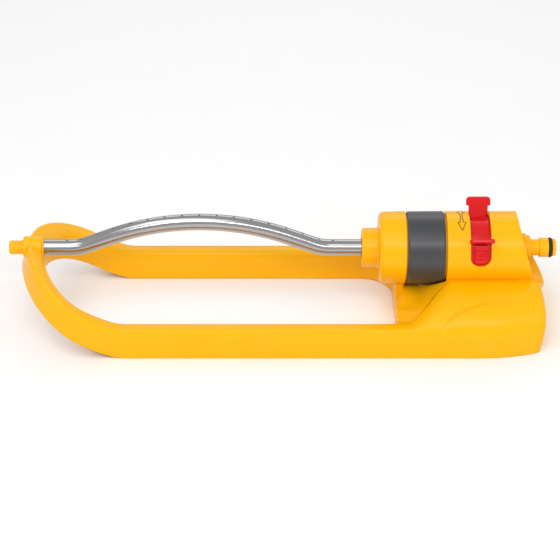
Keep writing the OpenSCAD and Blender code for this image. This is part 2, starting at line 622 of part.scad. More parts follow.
module rear_stop() color("#e2231a") {
  arc(slot_x - 9, slot_x + 9, inner_r - 1.2, inner_r, -rear_tab_angle - 44, rear_tab_angle + 40);
  arc(slot_x - 5.3, slot_x + 5.3, inner_r - 0.1, drum_r + 0.5, -rear_tab_angle - 33, -rear_tab_angle - 4);
  for (i = [0:2]) arc(slot_x - 5.3, slot_x + 5.3, drum_r + 0.4, drum_r + 1.3, -rear_tab_angle - 17 - 8 * i,
    -rear_tab_angle - 14 - 8 * i);
  at_angle(-rear_tab_angle) tab(inner_r - 0.9);
  at_angle(-rear_tab_angle - 18) post(slot_x + 6, slot_x + 8.8, 3, cave_r - 7.2, inner_r - 0.5);
}

// ---- end plug ----
plug_in = tube_end + plug_insert;
stem_r = bore_r - 0.1;
module end_plug() color("#fcc012") bar() difference() {
  union() {
    cone(-half, boss_x + 0.6, plug_diameter / 2 - 0.3, plug_diameter / 2);
    cyl(boss_x, plug_in, stem_r);
  }
  ring(tube_end + 6, tube_end + 8, bore_r + 1, bore_r - 1.3);
  cyl(plug_in - 6, plug_in + 1, 0.6);
}
module plug_oring() color("#151517") bar() oring(tube_end + 7, bore_r - 0.67, 0.62);
module cleaning_pin() color("#c4c7cc") bar() cyl(plug_in - 6, plug_in + 14, 0.6);

frame();
left_bush();
fixing_screws();
front_cap();
collar_seal();
housing();
inlet_nipple();
nipple_oring();
filter_screen();
spindle();
sun_gear();
spray_tube();
output_hub();
hub_orings();
motor_case();
motor_lid();
lid_seal();
gear_pin();
gear_plate();
gear_one();
gear_two();
gear_three();
turbine();
trip_lever();
diverter();
control_ring();
valve_sleeve();
front_stop();
rear_stop();
end_plug();
plug_oring();
cleaning_pin();
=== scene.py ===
"""An oscillating lawn sprinkler: looped yellow frame, arched aluminium tube, drum with control ring and sweep stops.

Lengths inside the classes are millimetres; `Builder.add` turns them into metres. X runs along the tube towards the
hose nipple, Y across, Z up. Angles round the swing axis are measured from straight up towards the front (-Y).
"""

import json
import logging
import math
from dataclasses import dataclass, field
from enum import Enum

import bmesh
import bpy
import numpy as np
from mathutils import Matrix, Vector


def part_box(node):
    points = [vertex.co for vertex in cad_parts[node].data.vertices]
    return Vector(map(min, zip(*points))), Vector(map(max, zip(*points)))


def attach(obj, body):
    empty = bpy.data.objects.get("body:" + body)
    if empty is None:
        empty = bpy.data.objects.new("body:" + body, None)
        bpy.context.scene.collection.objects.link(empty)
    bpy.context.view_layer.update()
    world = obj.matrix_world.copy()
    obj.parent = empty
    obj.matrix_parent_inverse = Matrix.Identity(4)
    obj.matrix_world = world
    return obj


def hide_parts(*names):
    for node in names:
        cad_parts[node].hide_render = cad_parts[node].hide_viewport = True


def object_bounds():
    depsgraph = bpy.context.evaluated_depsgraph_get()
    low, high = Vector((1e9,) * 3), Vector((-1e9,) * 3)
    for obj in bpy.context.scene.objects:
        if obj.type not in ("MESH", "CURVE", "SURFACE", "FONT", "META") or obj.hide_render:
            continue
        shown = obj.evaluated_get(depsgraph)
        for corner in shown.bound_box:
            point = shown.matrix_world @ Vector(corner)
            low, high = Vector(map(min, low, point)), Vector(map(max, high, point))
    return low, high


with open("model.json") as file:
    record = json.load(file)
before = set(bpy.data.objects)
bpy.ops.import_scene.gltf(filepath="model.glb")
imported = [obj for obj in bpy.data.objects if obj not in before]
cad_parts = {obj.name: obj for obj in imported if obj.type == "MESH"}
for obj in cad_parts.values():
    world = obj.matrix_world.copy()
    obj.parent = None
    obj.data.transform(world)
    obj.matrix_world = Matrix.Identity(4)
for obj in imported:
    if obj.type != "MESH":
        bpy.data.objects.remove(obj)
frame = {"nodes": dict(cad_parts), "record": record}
CAD_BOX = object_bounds()
LOG = logging.getLogger("sprinkler")
MM = 0.001
# angles of a quarter turn, for rounded rims
QUARTER = np.linspace(0, math.pi / 2, 5)
Array = np.ndarray
Object = bpy.types.Object


# ---- numbers and curves ----
def smoothstep(t: Array | float) -> Array | float:
    """The cubic ease 3t^2 - 2t^3, held at 0 and 1 outside its ends."""
    u = np.clip(t, 0.0, 1.0)
    return u * u * (3 - 2 * u)


def mix(a: Array | float, b: Array | float, t: Array | float) -> Array | float:
    """Straight-line blend from a to b."""
    return a + (b - a) * t


def catmull(points: list[tuple[float, float]], count: int) -> Array:
    """A smooth curve through points (centripetal-free Catmull-Rom), sampled evenly in its parameter.

    Args:
        points: the points that the curve passes through, in order.
        count: number of samples.

    Returns:
        An array (count, 2).
    """
    p = np.asarray(points, float)
    q = np.vstack([2 * p[0] - p[1], p, 2 * p[-1] - p[-2]])
    t = np.linspace(0, len(p) - 1, count)
    i = np.minimum(t.astype(int), len(p) - 2)
    u = (t - i)[:, None]
    a, b, c, d = q[i], q[i + 1], q[i + 2], q[i + 3]
    return 0.5 * (2 * b + (c - a) * u + (2 * a - 5 * b + 4 * c - d) * u**2 + (3 * b - a - 3 * c + d) * u**3)


def rounded(corners: list[tuple[float, float, float]], steps: int = 6) -> Array:
    """A closed outline whose corners are turned into arcs.

    Each corner (x, y, radius) is cut back along both edges by radius * tan(turn / 2), at most 45% of an edge,
    and the gap is bridged by a quadratic curve that touches both edges.

    Args:
        corners: the outline's corners with the radius of each.
        steps: points per rounded corner.

    Returns:
        An array (n, 2) of the outline, not repeating its first point.
    """
    pts = np.array([c[:2] for c in corners], float)
    out: list[Array] = []
    for k, (_, _, radius) in enumerate(corners):
        here, back, ahead = pts[k], pts[k - 1] - pts[k], pts[(k + 1) % len(pts)] - pts[k]
        lb, la = np.linalg.norm(back), np.linalg.norm(ahead)
        if radius <= 0:
            out.append(here[None])
            continue
        turn = math.pi - math.acos(float(np.clip(back @ ahead / (lb * la), -1, 1)))
        cut = min(radius * math.tan(turn / 2), 0.45 * lb, 0.45 * la)
        a, b = here + back / lb * cut, here + ahead / la * cut
        t = np.linspace(0, 1, steps)[:, None]
        out.append((1 - t) ** 2 * a + 2 * t * (1 - t) * here + t**2 * b)
    return np.vstack(out)


# ---- meshes ----
@dataclass
class Patch:
    """A grid of points (rows, columns, 3), and whether its rows or columns run round to the first again."""

    points: Array
    close_rows: bool = False
    close_columns: bool = False

    def quads(self, start: int) -> Array:
        """Vertex numbers of the grid's faces, counting from start."""
        n, m = self.points.shape[:2]
        i, j = np.meshgrid(
            np.arange(n if self.close_rows else n - 1), np.arange(m if self.close_columns else m - 1), indexing="ij"
        )
        a, b = (i % n) * m + j % m, (i % n) * m + (j + 1) % m
        c, d = ((i + 1) % n) * m + (j + 1) % m, ((i + 1) % n) * m + j % m
        return np.stack([a, b, c, d], -1).reshape(-1, 4) + start


class Builder:
    """Turns patches into finished objects."""

    @staticmethod
    def add(
        name: str, patches: list[Patch], weld: float = 0.01, sharp: float = 38.0, fix: bool = True
    ) -> Object:
        """Makes one object from patches.

        Args:
            name: the piece's name.
            patches: its surfaces, in millimetres.
            weld: points nearer than this, in millimetres, become one.
            sharp: edges that turn by more than this many degrees stay crisp.
            fix: whether the faces are all turned outwards.

        Returns:
            The object, at the origin.
        """
        points, faces, start = [], [], 0
        for patch in patches:
            flat = patch.points.reshape(-1, 3)
            faces.append(patch.quads(start))
            points.append(flat)
            start += len(flat)
        mesh = bpy.data.meshes.new(name)
        mesh.from_pydata((np.vstack(points) * MM).tolist(), [], np.vstack(faces).tolist())
        Builder.weld(mesh, weld * MM, fix)
        mesh.set_sharp_from_angle(angle=math.radians(sharp))
        obj = bpy.data.objects.new(name, mesh)
        bpy.context.scene.collection.objects.link(obj)
        return obj

    @staticmethod
    def weld(mesh: bpy.types.Mesh, distance: float, fix: bool) -> None:
        """Merges doubled points, drops faces without area, turns faces outwards and shades the mesh smooth."""
        bm = bmesh.new()
        bm.from_mesh(mesh)
        bmesh.ops.remove_doubles(bm, verts=bm.verts, dist=distance)
        bmesh.ops.dissolve_degenerate(bm, edges=bm.edges, dist=distance / 10)
        if fix:
            bmesh.ops.recalc_face_normals(bm, faces=bm.faces)
        for f in bm.faces:
            f.smooth = True
        bm.to_mesh(mesh)
        bm.free()

    @staticmethod
    def bevel(obj: Object, width: float, segments: int = 3, angle: float = 35.0) -> None:
        """Rounds the object's crisp edges with a live bevel of width millimetres."""
        mod = obj.modifiers.new("edge_round", "BEVEL")
        mod.width, mod.segments, mod.limit_method = width * MM, segments, "ANGLE"
        mod.angle_limit = math.radians(angle)
        mod.harden_normals = True


class Ground:
    """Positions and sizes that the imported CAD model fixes, in millimetres."""

    def __init__(self) -> None:
        """Reads the boxes of the nodes that the new pieces stand for."""
        self.low, self.high = (tuple(c / MM for c in corner) for corner in CAD_BOX)
        ring, house = self.box("control_ring"), self.box("housing")
        cap, frame_box = self.box("front_cap"), self.box("frame")
        self.axis = (ring[0][2] + ring[1][2]) / 2
        self.radius = (ring[1][2] - ring[0][2]) / 2
        self.ring_x = (ring[0][0], ring[1][0])
        self.cap_x = (cap[0][0], ring[0][0] - 1.2)
        self.house_x = house[0][0] + 3.0
        self.slot_x = self.house_x + 27.8
        self.half_width = frame_box[1][1]
        self.apex_x, self.tail_x = frame_box[0][0], frame_box[1][0]
        self.nose_x = self.high[0]

    @staticmethod
    def box(node: str) -> tuple[tuple[float, ...], tuple[float, ...]]:
        """Lowest and highest corner of a CAD node, in millimetres."""
        lo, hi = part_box(node)
        return tuple(c / MM for c in lo), tuple(c / MM for c in hi)


GROUND = Ground()


def around(x: Array, r: Array, angle: Array) -> Array:
    """Points at distance r from the swing axis, at x along it and angle (radians) from straight up to the front."""
    x, r, angle = np.broadcast_arrays(x, r, angle)
    return np.stack([x, -r * np.sin(angle), GROUND.axis + r * np.cos(angle)], -1)


def lathe(profile: Array, sides: int = 160) -> Patch:
    """A closed profile of (x, radius) points turned once round the swing axis."""
    turn = np.linspace(0, 2 * math.pi, sides, endpoint=False)
    return Patch(around(profile[:, None, 0], profile[:, None, 1], turn[None, :]), True, True)


def turned(patches: list[Patch], angle: float) -> list[Patch]:
    """The same patches turned about the swing axis by angle degrees towards the front."""
    c, s = math.cos(math.radians(angle)), math.sin(math.radians(angle))
    out = []
    for p in patches:
        q = p.points.copy()
        y, z = p.points[..., 1], p.points[..., 2] - GROUND.axis
        q[..., 1], q[..., 2] = y * c - z * s, y * s + z * c + GROUND.axis
        out.append(Patch(q, p.close_rows, p.close_columns))
    return out


# ---- materials ----
def linear(hex_colour: str) -> tuple[float, float, float, float]:
    """An sRGB hex colour such as '#fcc012' as linear red, green, blue and alpha."""
    v = [int(hex_colour[i : i + 2], 16) / 255 for i in (1, 3, 5)]
    return (*[c / 12.92 if c <= 0.04045 else ((c + 0.055) / 1.055) ** 2.4 for c in v], 1.0)


def add_node(tree: bpy.types.NodeTree, kind: str, links: dict | None = None, **settings) -> bpy.types.Node:
    """Adds a shader node.

    Args:
        tree: the material's node tree.
        kind: the node's type name without its 'ShaderNode' start.
        links: input name or number -> output socket of another node that feeds it.
        **settings: attributes of the node, or input values under their names with _ for a space.

    Returns:
        The node.
    """
    node = tree.nodes.new("ShaderNode" + kind)
    for key, value in settings.items():
        if hasattr(node, key):
            setattr(node, key, value)
        else:
            node.inputs[key.replace("_", " ")].default_value = value
    for key, socket in (links or {}).items():
        tree.links.new(socket, node.inputs[key])
    return node


class Surface(Enum):
    """How a finish's fine texture is made."""

    MOULDED = "moulded"
    DRAWN = "drawn"


@dataclass(frozen=True)
class Finish:
    """One finish: what it is made of, its colours and how its surface was made."""

    name: str
    colour: str
    shade: str
    roughness: float
    metallic: float = 0.0
    ior: float = 1.49
    coat: float = 0.0
    surface: Surface = Surface.MOULDED
    grain_mm: float = 0.6
    depth: float = 0.05
    subsurface: float = 0.0
    specular: float = 0.5

    def material(self) -> bpy.types.Material:
        """Builds the procedural material once and returns it."""
        if self.name in bpy.data.materials:
            return bpy.data.materials[self.name]
        mat = bpy.data.materials.new(self.name)
        mat.use_nodes = True
        tree = mat.node_tree
        shader = tree.nodes["Principled BSDF"]
        shader.inputs["Metallic"].default_value = self.metallic
        shader.inputs["Coat Weight"].default_value = self.coat
        shader.inputs["Coat Roughness"].default_value = 0.12
        if not self.metallic:
            shader.inputs["IOR"].default_value = self.ior
            shader.inputs["Specular IOR Level"].default_value = self.specular
        if self.subsurface:
            shader.inputs["Subsurface Weight"].default_value = self.subsurface
            shader.inputs["Subsurface Radius"].default_value = (0.004, 0.002, 0.0006)
        where = add_node(tree, "TexCoord")
        # drawn metal: fine lines that run along X, so the pattern is stretched 40 times that way
        stretch = (1.0, 40.0, 40.0) if self.surface is Surface.DRAWN else (1.0, 1.0, 1.0)
        place = add_node(tree, "Mapping", {"Vector": where.outputs["Object"]}, Scale=stretch)
        # one grain is grain_mm across; noise scale counts grains per metre
        grains = 1000.0 / self.grain_mm / stretch[1]
        fine = add_node(tree, "TexNoise", {"Vector": place.outputs["Vector"]}, Scale=grains, Detail=3.0)
        # slow, barely visible change of colour and gloss over some 60 mm, as a moulding or a drawn tube has
        slow = add_node(tree, "TexNoise", {"Vector": where.outputs["Object"]}, Scale=16.0, Detail=2.0)
        tone = add_node(tree, "Mix", {0: slow.outputs["Fac"]}, data_type="RGBA")
        tone.inputs[6].default_value, tone.inputs[7].default_value = linear(self.shade), linear(self.colour)
        tree.links.new(tone.outputs[2], shader.inputs["Base Color"])
        # the gloss varies by an eighth each way with the grain
        low, high = self.roughness * 0.88, self.roughness * 1.12
        gloss = add_node(tree, "MapRange", {"Value": fine.outputs["Fac"]}, To_Min=low, To_Max=high)
        tree.links.new(gloss.outputs["Result"], shader.inputs["Roughness"])
        bump = add_node(tree, "Bump", {"Height": fine.outputs["Fac"]}, Strength=self.depth, Distance=0.0002)
        tree.links.new(bump.outputs["Normal"], shader.inputs["Normal"])
        return mat

    def dress(self, obj: Object) -> None:
        """Gives the object this finish in its only material slot."""
        obj.data.materials.clear()
        obj.data.materials.append(self.material())


# impact-modified polypropylene, gloss moulded: saturated yellow with soft wide highlights
YELLOW = Finish("yellow_polypropylene_gloss_moulded", "#fdbb02", "#fbb302", 0.27, ior=1.46, specular=0.26)
# extruded aluminium, drawn, with hard streaks along the tube; its base colour is darkened to a mid grey, below bright
# aluminium: painted shade that stands in for the darker surroundings the tube reflects
ALUMINIUM = Finish(
    "aluminium_bright_drawn_tube", "#b3b1b2", "#a8a7a9", 0.17, metallic=1.0, surface=Surface.DRAWN, grain_mm=0.4,
    depth=0.06)
# glass-filled nylon, eroded mould: dark grey, dull, faint grain
GREY = Finish("dark_grey_nylon_satin_moulded", "#3e3f42", "#3b3c3f", 0.34, ior=1.53, grain_mm=0.5, depth=0.12)
# ABS, gloss moulded: bright red with crisp highlights
RED = Finish("red_abs_gloss_moulded", "#dd0912", "#d50710", 0.26, ior=1.54, specular=0.32)
# nitrile rubber ring, moulded: near black, dull sheen
RUBBER = Finish("black_nitrile_rubber_moulded", "#161617", "#1a1a1b", 0.5, ior=1.52, depth=0.1)
# acetal, machined or moulded: off-white and slightly waxy
ACETAL = Finish("white_acetal_moulded", "#e6e2d6", "#dfdbce", 0.38, ior=1.48, subsurface=0.05)
# acetal coloured blue for the moving valve parts
BLUE = Finish("blue_acetal_moulded", "#4f7fb6", "#4877ad", 0.36, ior=1.48)
# black ABS of the motor case, eroded mould
DARK = Finish("black_abs_satin_moulded", "#2c2e31", "#303236", 0.42, ior=1.54, depth=0.1)
# stainless steel, turned: cool and bright
STEEL = Finish("stainless_steel_turned", "#c9cbcf", "#bfc1c5", 0.26, metallic=1.0, surface=Surface.DRAWN, grain_mm=0.5)
# the same yellow plastic darkened to amber: painted shade that stands in for the shade inside an engraved groove
GROOVE_SHADE_PAINTED = Finish("yellow_polypropylene_painted_groove_shade", "#8a5a08", "#7f5206", 0.5, ior=1.49)
# studio sweep: matt white painted board
BOARD = Finish("white_board_matt_painted", "#ffffff", "#fdfdfd", 0.85, ior=1.4, depth=0.0)


def piece(
    finish: Finish, name: str, patches: list[Patch], weld: float = 0.01, sharp: float = 38.0
) -> Object:
    """Makes one object from patches, as Builder.add does, and gives it its finish."""
    obj = Builder.add(name, patches, weld, sharp)
    finish.dress(obj)
    return obj


# ---- frame ----
@dataclass
class GroundFrame:
    """The looped ground frame with the base block that carries the drum, one moulding open underneath."""

    rail_width: float = 16.6
    rail_height: float = 26.6
    wall: float = 2.4
    loop_length: float = 56.4
    loop_rise: float = 47.7
    loop_run: float = 93.0
    loop_lean: float = 7.0
    shelf: float = 47.5
    shelf_half: float = 30.0
    opening_back: float = 135.0
    corner: float = 28.0
    samples: int = 80
    lip_reach: float = 224.5
    lip_edge: float = 1.3
    squeeze: float = 30.0
    mound_top: float = 31.0
    tail_steps: int = 60
    ramp_steps: int = 49
    rail: list[tuple[float, float]] = field(
        default_factory=lambda: [
            (0, 0), (0.015, 0.3), (0.035, 0.6), (0.06, 0.82), (0.11, 0.945), (0.21, 0.995), (0.50, 1), (0.70, 0.99),
            (0.86, 0.945), (0.935, 0.865), (0.965, 0.74), (0.98, 0.4), (1, 0)]
    )
    block: list[tuple[float, float]] = field(
        default_factory=lambda: [
            (0, 0), (0.012, 0.2), (0.05, 0.4), (0.13, 0.58), (0.26, 0.73), (0.45, 0.86), (0.68, 0.95), (0.90, 0.99),
            (0.97, 1), (1, 1), (1.01, 1), (1.02, 1), (1.03, 1)]
    )

    def __post_init__(self) -> None:
        """Works out the stations along X from the frame's box."""
        self.open_x = GROUND.nose_x - self.opening_back
        self.rise_x = GROUND.apex_x + self.loop_run
        self.loop_c = GROUND.apex_x + self.loop_length
        self.shelf_x = GROUND.house_x + 5.6
        self.scurve_x = self.open_x + 5
        self.half = GROUND.half_width

    def narrow(self, x: Array) -> Array:
        """Half width of the foot at x: the block draws in behind the shelf as a parabola, 9 mm over 58 mm."""
        return self.half - 9 * np.maximum(0, (x - self.shelf_x - 16) / 58) ** 2

    def deck(self, x: Array) -> Array:
        """Height of the deck between the rails: an ease from 21 mm at the opening to the shelf."""
        return mix(21.0, self.shelf, smoothstep((x - self.open_x) / (self.shelf_x - self.open_x)))

    def chain(self, x: Array) -> tuple[Array, Array]:
        """The section's inward distance n and height h for each station x, as arrays (stations, samples).

        Rail and block outlines are smooth curves through their points, blended by an ease along the S-curve;
        the inner foot moves from the ground to the deck at the end of the opening, and inwards round its corner.
        """
        rail, block = catmull(self.rail, self.samples), catmull(self.block, self.samples)
        s = smoothstep((x - self.scurve_x) / (self.shelf_x - self.scurve_x))[:, None]
        span = (self.narrow(x) - self.shelf_half)[:, None]
        n = mix(self.rail_width * rail[None, :, 0], span * block[None, :, 0], s)
        h = mix(self.rail_height * rail[None, :, 1], self.shelf * block[None, :, 1], s)
        part = np.linspace(0, 1, self.samples)[None, :]
        foot = np.clip((part - 0.75) / 0.25, 0, 1)
        base = np.where(x > self.open_x - 1e-6, self.deck(x), 0.0)[:, None]
        h = np.maximum(h, base * foot**0.5 * (part > 0.75))
        h[:, -1] = base[:, 0]
        bite = np.clip((x - (self.open_x - self.corner)) / self.corner, 0, 1)
        fade = np.clip(1 - (x - self.open_x) / 25, 0, 1)
        swing = self.corner * (1 - np.sqrt(1 - bite**2)) * np.where(x > self.open_x, smoothstep(fade), 1.0)
        n = n + swing[:, None] * np.clip((part - 0.62) / 0.38, 0, 1) ** 1.5
        # the wall's inner rim leans down a little, so the outer foot starts 0.3 mm above the ground
        return n, np.maximum(h, 0.32)

    def stations(self) -> tuple[Array, Array]:
        """Stations from the front of the tail, round the loop, to the back of the tail.

        Returns:
            Base points (x, y) and inward normals, both (stations, 2).
        """
        block = np.concatenate([
            np.linspace(GROUND.tail_x, self.shelf_x, self.tail_steps),
            np.linspace(self.shelf_x, self.open_x, self.ramp_steps + 1)[1:]])
        rail = np.concatenate([
            [self.open_x - 0.02], np.linspace(self.open_x - 0.8, self.open_x - self.corner, 20),
            np.linspace(self.open_x - self.corner - 3, self.rise_x, 40),
            np.linspace(self.rise_x, self.loop_c, 22)[1:-1]])
        x = np.concatenate([block, rail])
        t = np.linspace(-math.pi / 2, math.pi / 2, 91)
        nx, ny = np.cos(t) / self.loop_length, -np.sin(t) / self.half
        q = np.hypot(nx, ny)
        base = np.concatenate([
            np.stack([x, -self.narrow(x)], -1),
            np.stack([self.loop_c - self.loop_length * np.cos(t), self.half * np.sin(t)], -1),
            np.stack([x, self.narrow(x)], -1)[::-1]])
        normal = np.concatenate([
            np.tile([0.0, 1.0], (len(x), 1)), np.stack([nx / q, ny / q], -1), np.tile([0.0, -1.0], (len(x), 1))])
        return base, normal

    def end_x(self, z: Array) -> Array:
        """X of the tail's end face at height z: a soft bulge, fullest a little over half way up."""
        return GROUND.tail_x - 4.2 * np.abs((z - 26) / 26) ** 1.8 * np.where(z < 26, 1.0, 1.25)

    def skin(self) -> tuple[Array, Array]:
        """Points of the outer skin as (stations, samples, 3), with its outward normals."""
        base, normal = self.stations()
        x = base[:, 0]
        n, h = self.chain(np.where(np.abs(normal[:, 1]) > 0.999, x, -1e3))
        px = base[:, None, 0] + normal[:, None, 0] * n
        py = base[:, None, 1] + normal[:, None, 1] * n
        up = np.maximum(0, (self.rise_x - px) / self.loop_run)
        # the band gets up to a fifth slimmer towards the top of the loop, from below
        h = h + (self.rail_height - h) * 0.2 * up**3
        # the rise starts softly: u * u / (u + 0.15) leaves the ground without a kink
        pz = h + self.loop_rise * (up * up / (up + 0.15) * 1.15) ** 1.25
        px = px + self.loop_lean * up * h / self.rail_height
        # tail: stations are squeezed so that the last one lies on the end face, and its upright edge is rounded
        start_x = GROUND.tail_x - self.squeeze
        reach = np.clip((px - start_x) / self.squeeze, 0, 1)
        px = np.where(reach > 0, start_x + reach * (self.end_x(pz) - start_x), px)
        pull = 5 * (1 - np.sqrt(np.clip(1 - np.clip((reach - 0.84) / 0.16, 0, 1) ** 2, 0, 1)))
        py = py - np.sign(py) * pull * smoothstep((np.abs(py) - 31) / 12)
        pts = np.stack([px, py, pz], -1)
        out = np.cross(np.gradient(pts, axis=1), np.gradient(pts, axis=0))
        out /= np.linalg.norm(out, axis=-1, keepdims=True) + 1e-9
        return pts, out

    def swell(self, pts: Array, out: Array) -> Array:
        """Raises the soft teardrop on each flank of the block by up to 2.2 mm.

        Its outline is a leaning ellipse in x and slanted height; the edge is crisp at the upper left and melts away
        towards the tail.
        """
        slant = pts[..., 2] * math.cos(math.radians(30)) - np.abs(pts[..., 1]) * math.sin(math.radians(30))
        u, v = pts[..., 0] - 168.0, slant + 10.5
        u, v = u * 0.97 + v * 0.26, v * 0.97 - u * 0.26
        inside = 1 - np.sqrt((u / 41) ** 2 + (v / 18.5) ** 2)
        width = mix(0.17, 0.7, smoothstep((u + 12) / 55))
        flank = np.arange(pts.shape[1]) < self.samples * 0.7
        lift = 2.2 * smoothstep(inside / width + 0.25) * smoothstep((44 - u) / 62) * flank
        raised = pts + out * lift[..., None]
        raised[..., 1] = np.clip(raised[..., 1], 0.3 - self.half, self.half - 0.3)
        return raised

    def deck_patch(self, left: Array) -> Patch:
        """Closes the space between the two flanks, dipping into a cradle just outside the drum.

        Each row runs from the front skin's inner edge down the cradle's arc to the middle and up again; the arc
        starts where the circle of the cradle meets the deck.
        """
        x, z = left[:, 0], left[:, 2]
        radius = np.where(x < GROUND.house_x - 0.9, GROUND.radius + 1.4, GROUND.radius + 0.05)
        drop = np.clip((GROUND.axis - z) / radius, 0, 1)
        start = np.where(drop < 1, np.arccos(drop), 0.0)
        arc = np.linspace(-1, 1, 41)[None, :] * start[:, None]
        y_arc = radius[:, None] * np.sin(arc)
        # a soft mound under the cap: it rises just behind the opening and dies away to both sides
        onset = smoothstep((x - self.open_x) / 6.5)
        crest = np.maximum(z, mix(z, self.mound_top, onset))[:, None]
        z_arc = np.where(start[:, None] > 0, GROUND.axis - radius[:, None] * np.cos(arc), crest)
        t = np.linspace(0, 1, 26)[None, :-1]
        flat = (left[:, None, 1] + (y_arc[:, :1] - left[:, None, 1]) * t, z[:, None] + 0 * t)
        rise = onset[:, None] * (1 - smoothstep((np.abs(flat[0]) - 7) / 22))
        flat = (flat[0], flat[1] + np.maximum(0, self.mound_top - flat[1]) * rise)
        y = np.concatenate([flat[0], y_arc, -flat[0][:, ::-1]], 1)
        zz = np.concatenate([flat[1], z_arc, flat[1][:, ::-1]], 1)
        # the last stretch is squeezed with the height, as on the flanks, so that the end lies on the tail's face
        start_x = GROUND.tail_x - self.squeeze
        reach = np.clip((x - start_x) / (self.end_x(np.array(self.shelf)) - start_x), 0, 1)[:, None]
        along = np.where(reach > 0, start_x + reach * (self.end_x(zz) - start_x), x[:, None])
        return Patch(np.stack([along, y, zz], -1))

    def tail_patch(self, front: Array, top: Array, back: Array) -> Patch:
        """The end face: upright columns from the ground to the outline (front flank, cradle, back flank)."""
        outline = np.concatenate([front, top[1:-1], back[::-1]])
        share = np.linspace(0, 1, 15)[None, :]
        z = outline[:, None, 2] * share
        x = self.end_x(z) + (outline[:, None, 0] - self.end_x(outline[:, None, 2])) * share
        return Patch(np.stack([x, np.broadcast_to(outline[:, None, 1], z.shape), z], -1))

    def build(self) -> Object:
        """The whole moulding: outer skin, deck, cross wall and tail, given its wall thickness inwards."""
        pts, out = self.skin()
        pts = self.swell(pts, out)
        deck = self.deck_patch(pts[: self.tail_steps + self.ramp_steps, -1])
        tail = self.tail_patch(pts[0], deck.points[0], pts[-1])
        edge = deck.points[-1]
        low = edge.copy()
        low[:, 2] = 0.0
        cross = Patch(mix(edge[None], low[None], np.linspace(0, 1, 5)[:, None, None]))
        obj = Builder.add("frame_moulding", [Patch(pts), deck, tail, cross], weld=0.06, sharp=50)
        shell = obj.modifiers.new("wall", "SOLIDIFY")
        shell.thickness, shell.offset, shell.use_rim = self.wall * MM, -1.0, True
        # the wall is made into mesh so that its lower rim can be cut level with the ground
        mesh = bpy.data.meshes.new_from_object(obj.evaluated_get(bpy.context.evaluated_depsgraph_get()))
        obj.modifiers.clear()
        obj.data = mesh
        places = np.empty(len(mesh.vertices) * 3)
        mesh.vertices.foreach_get("co", places)
        places[2::3] = np.maximum(places[2::3], 0.0)
        mesh.vertices.foreach_set("co", places)
        mesh.update()
        YELLOW.dress(obj)
        return obj

    def lobe(self) -> Object:
        """The rounded lip of the drum's cradle that sticks out under the nipple.

        Every slice through the drum's axis is the same thick lip: the cradle's surface, a rounded nose and a sloping
        underside; the nose stands furthest out at the middle, falling off with the square of the angle.
        """
        angle = np.radians(np.linspace(-58, 58, 81))
        nose = self.lip_reach - 7.4 * (angle / math.radians(48)) ** 2
        turn = np.radians(np.linspace(90, -70, 11))
        e, radius = self.lip_edge, GROUND.radius + 0.02
        x = [nose - 16.0, *[nose - e + e * math.cos(t) for t in turn], nose - 9.0, nose - 16.0]
        r = [radius, *[radius + e - e * math.sin(t) for t in turn], radius + 8.0, radius + 8.0]
        x, r = np.stack(x, 1), np.stack([np.full_like(angle, v) for v in r], 1)
        y, z = r * np.sin(angle)[:, None], GROUND.axis - r * np.cos(angle)[:, None]
        wall = Patch(np.stack([x, y, z], -1), False, True)
        caps = [
            Patch(np.stack([end, np.broadcast_to(end.mean(0), end.shape)], 0), False, True)
            for end in (wall.points[0], wall.points[-1])]
        return piece(YELLOW, "frame_cradle_lip", [wall, *caps], sharp=60)

    def pedestal(self) -> Object:
        """The foot under the front cap that its two screws pull against."""
        low, back = 18.0, GROUND.cap_x[1] - 0.4
        arc = np.linspace(-23, 23, 25)
        top = around(np.zeros_like(arc), GROUND.radius + 0.05, np.radians(180 + arc))
        sides = []
        for x in (back - 6.8, back):
            upper = np.stack([np.full(len(arc), x), top[:, 1], top[:, 2]], -1)
            lower = upper * (1, 1, 0) + (0, 0, low)
            sides.append(np.stack([lower, mix(lower, upper, 0.5), upper], 0))
        across = np.stack(sides, 0)
        faces = (*across, across[:, 2], across[:, 0], across[:, :, 0], across[:, :, -1])
        obj = piece(YELLOW, "frame_cap_pedestal", [Patch(f) for f in faces])
        Builder.bevel(obj, 0.7)
        return obj

    def boss(self) -> Object:
        """The round boss through the raised end that carries the tube's bush."""
        lo, hi = GROUND.box("left_bush")
        flange = (hi[2] - lo[2]) / 2
        radius, x0, x1 = flange + 0.6, lo[0] - 2.6, hi[0] - 1.6
        profile = rounded([
            (x0, 6.5, 0.3), (x0, radius, 2.6), (x1, radius, 1.0), (x1, flange - 0.75, 0.2),
            (lo[0], flange - 0.75, 0), (lo[0], 6.5, 0)])
        return piece(YELLOW, "frame_bearing_boss", [lathe(profile, 96)])


